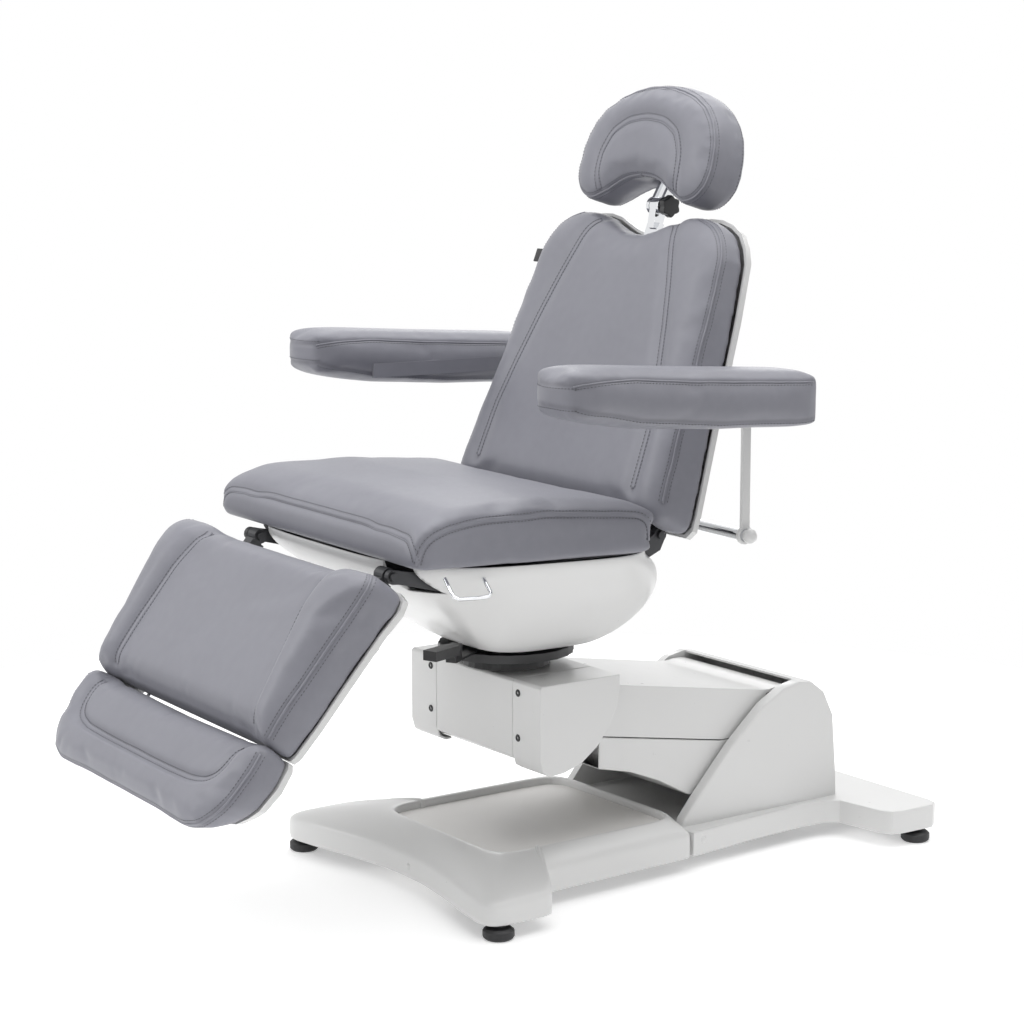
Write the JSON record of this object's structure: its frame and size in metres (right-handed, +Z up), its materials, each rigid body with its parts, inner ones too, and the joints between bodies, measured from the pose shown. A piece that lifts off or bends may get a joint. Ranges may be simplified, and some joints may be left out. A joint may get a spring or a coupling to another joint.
{
  "type": "facial treatment bed",
  "caption": "Powered facial treatment bed: footed base, parallel lift arm, swivelling tilting seat, reclining back, level armrests, jointed headrest, leg rest with sliding foot section.",
  "frame": {"origin": "middle of the footprint box on the floor, under the seat", "axes": "+Z up, the sitter faces -Y, the sitter's left is +X"},
  "size_m": [0.89, 1.4284, 1.2993],
  "materials": {
    "leather": "cool grey synthetic leather, fine grain, stitched seams",
    "white_plastic": "white moulded shell, soft gloss",
    "tray_plastic": "warm grey matt tray",
    "rubber_foot": "black ribbed rubber",
    "black_plastic": "black satin",
    "chrome": "bright chrome plate",
    "steel": "dark powder-coated steel"
  },
  "bodies": {
    "base": {"base_frame": "steel", "lift_axle": "steel", "foot_front_left": "rubber_foot", "foot_front_right": "rubber_foot", "foot_rear_left": "rubber_foot", "foot_rear_right": "rubber_foot", "base_front_cover": "white_plastic", "base_tray": "tray_plastic", "base_rear_cover": "white_plastic"},
    "lift_arm": {"lift_arm_frame": "steel", "lift_arm_upper_cover": "white_plastic", "lift_arm_lower_cover": "white_plastic", "lift_actuator": "black_plastic"},
    "level_link": {"level_link": "steel"},
    "head": {"head_frame": "steel", "head_axle": "steel", "head_left_cover": "white_plastic", "head_right_cover": "white_plastic", "head_center_panel": "white_plastic", "swivel_column": "black_plastic"},
    "turret": {"seat_turret": "black_plastic"},
    "lock_lever": {"swivel_lock_lever": "black_plastic"},
    "seat": {"seat_shroud": "white_plastic", "vent_panel": "black_plastic", "seat_frame": "steel", "tilt_actuator": "black_plastic", "back_actuator": "black_plastic", "leg_actuator": "black_plastic", "wire_hook": "chrome", "seat_cushion": "leather", "recline_pin_left": "steel", "recline_pin_right": "steel", "knee_pin_left": "steel", "knee_pin_right": "steel"},
    "back": {"back_cushion": "leather", "back_shell": "white_plastic", "back_frame": "steel"},
    "clamp_knob": {"clamp_knob": "chrome"},
    "headrest_post": {"headrest_post": "chrome"},
    "headrest_link": {"headrest_link": "chrome"},
    "knuckle_knob": {"knuckle_knob": "black_plastic"},
    "headrest": {"headrest_plate": "chrome", "headrest_cushion": "leather"},
    "arm_frame": {"arm_hub_left": "chrome", "arm_hub_right": "chrome", "hanger_bar_left": "white_plastic", "hanger_bar_right": "white_plastic", "cross_bar": "chrome"},
    "armrest_left": {"armrest_bracket_left": "steel", "armrest_pad_left": "leather"},
    "armrest_right": {"armrest_bracket_right": "steel", "armrest_pad_right": "leather"},
    "leg": {"leg_cushion": "leather", "leg_shell": "white_plastic", "leg_frame": "steel", "pull_handle": "chrome"},
    "foot": {"foot_cushion": "leather", "foot_shell": "white_plastic", "foot_rail_left": "chrome", "foot_rail_right": "chrome"}
  },
  "joints": [
    {"name": "lift", "type": "hinge", "parent": "base", "child": "lift_arm", "pos_m": [-0.02512, 0.46872, 0.175], "axis": [-0.9986, -0.0523, 0], "range_deg": [0, 38]},
    {"name": "level_link_swing", "type": "hinge", "parent": "base", "child": "level_link", "pos_m": [-0.02512, 0.46872, 0.12], "axis": [-0.9986, -0.0523, 0], "range_deg": [0, 38]},
    {"name": "head_level", "type": "hinge", "parent": "lift_arm", "child": "head", "pos_m": [-0.00105, 0.00935, 0.285], "axis": [-0.9986, -0.0523, 0], "range_deg": [-38, 0]},
    {"name": "swivel", "type": "hinge", "parent": "head", "child": "turret", "pos_m": [0, -0.01062, 0.38], "axis": [0, 0, 1], "range_deg": [-117, 123]},
    {"name": "swivel_lock", "type": "hinge", "parent": "turret", "child": "lock_lever", "pos_m": [0.04, -0.09862, 0.39], "axis": [0, 0, 1], "range_deg": [0, 20]},
    {"name": "seat_tilt", "type": "hinge", "parent": "turret", "child": "seat", "pos_m": [0, 0.10938, 0.47], "axis": [-1, 0, 0], "range_deg": [0, 12]},
    {"name": "recline", "type": "hinge", "parent": "seat", "child": "back", "pos_m": [0, 0.13938, 0.585], "axis": [-1, 0, 0], "range_deg": [0, 68.8]},
    {"name": "arm_level", "type": "hinge", "parent": "back", "child": "arm_frame", "pos_m": [0, 0.23238, 0.812], "axis": [-1, 0, 0], "range_deg": [-68.8, 0]},
    {"name": "armrest_left_lift", "type": "hinge", "parent": "arm_frame", "child": "armrest_left", "pos_m": [0.34, 0.23238, 0.812], "axis": [-1, 0, 0], "range_deg": [0, 80]},
    {"name": "armrest_right_lift", "type": "hinge", "parent": "arm_frame", "child": "armrest_right", "pos_m": [-0.34, 0.23238, 0.812], "axis": [-1, 0, 0], "range_deg": [0, 80]},
    {"name": "headrest_slide", "type": "slide", "parent": "back", "child": "headrest_post", "axis": [0, 0.3616, 0.9323], "range_m": [0, 0.09]},
    {"name": "headrest_clamp", "type": "hinge", "parent": "back", "child": "clamp_knob", "pos_m": [0, 0.31759, 0.94491], "axis": [0, -0.9323, 0.3616], "range_deg": [-90, 90]},
    {"name": "headrest_knuckle", "type": "hinge", "parent": "headrest_post", "child": "headrest_link", "pos_m": [0, 0.29438, 1.098], "axis": [-1, 0, 0], "range_deg": [0, 35]},
    {"name": "knuckle_clamp", "type": "hinge", "parent": "headrest_link", "child": "knuckle_knob", "pos_m": [0.028, 0.29438, 1.098], "axis": [1, 0, 0], "range_deg": [-90, 90]},
    {"name": "headrest_tilt", "type": "hinge", "parent": "headrest_link", "child": "headrest", "pos_m": [0, 0.34338, 1.184], "axis": [-1, 0, 0], "range_deg": [-5, 35]},
    {"name": "leg_raise", "type": "hinge", "parent": "seat", "child": "leg", "pos_m": [0, -0.36062, 0.568], "axis": [-1, 0, 0], "range_deg": [-20, 50.8]},
    {"name": "foot_slide", "type": "slide", "parent": "leg", "child": "foot", "axis": [0, -0.632, -0.7749], "range_m": [0, 0.12]}
  ],
  "couplings": [
    {"joint": "level_link_swing", "follows": "lift", "ratio": 1},
    {"joint": "head_level", "follows": "lift", "ratio": -1},
    {"joint": "arm_level", "follows": "recline", "ratio": -1}
  ]
}
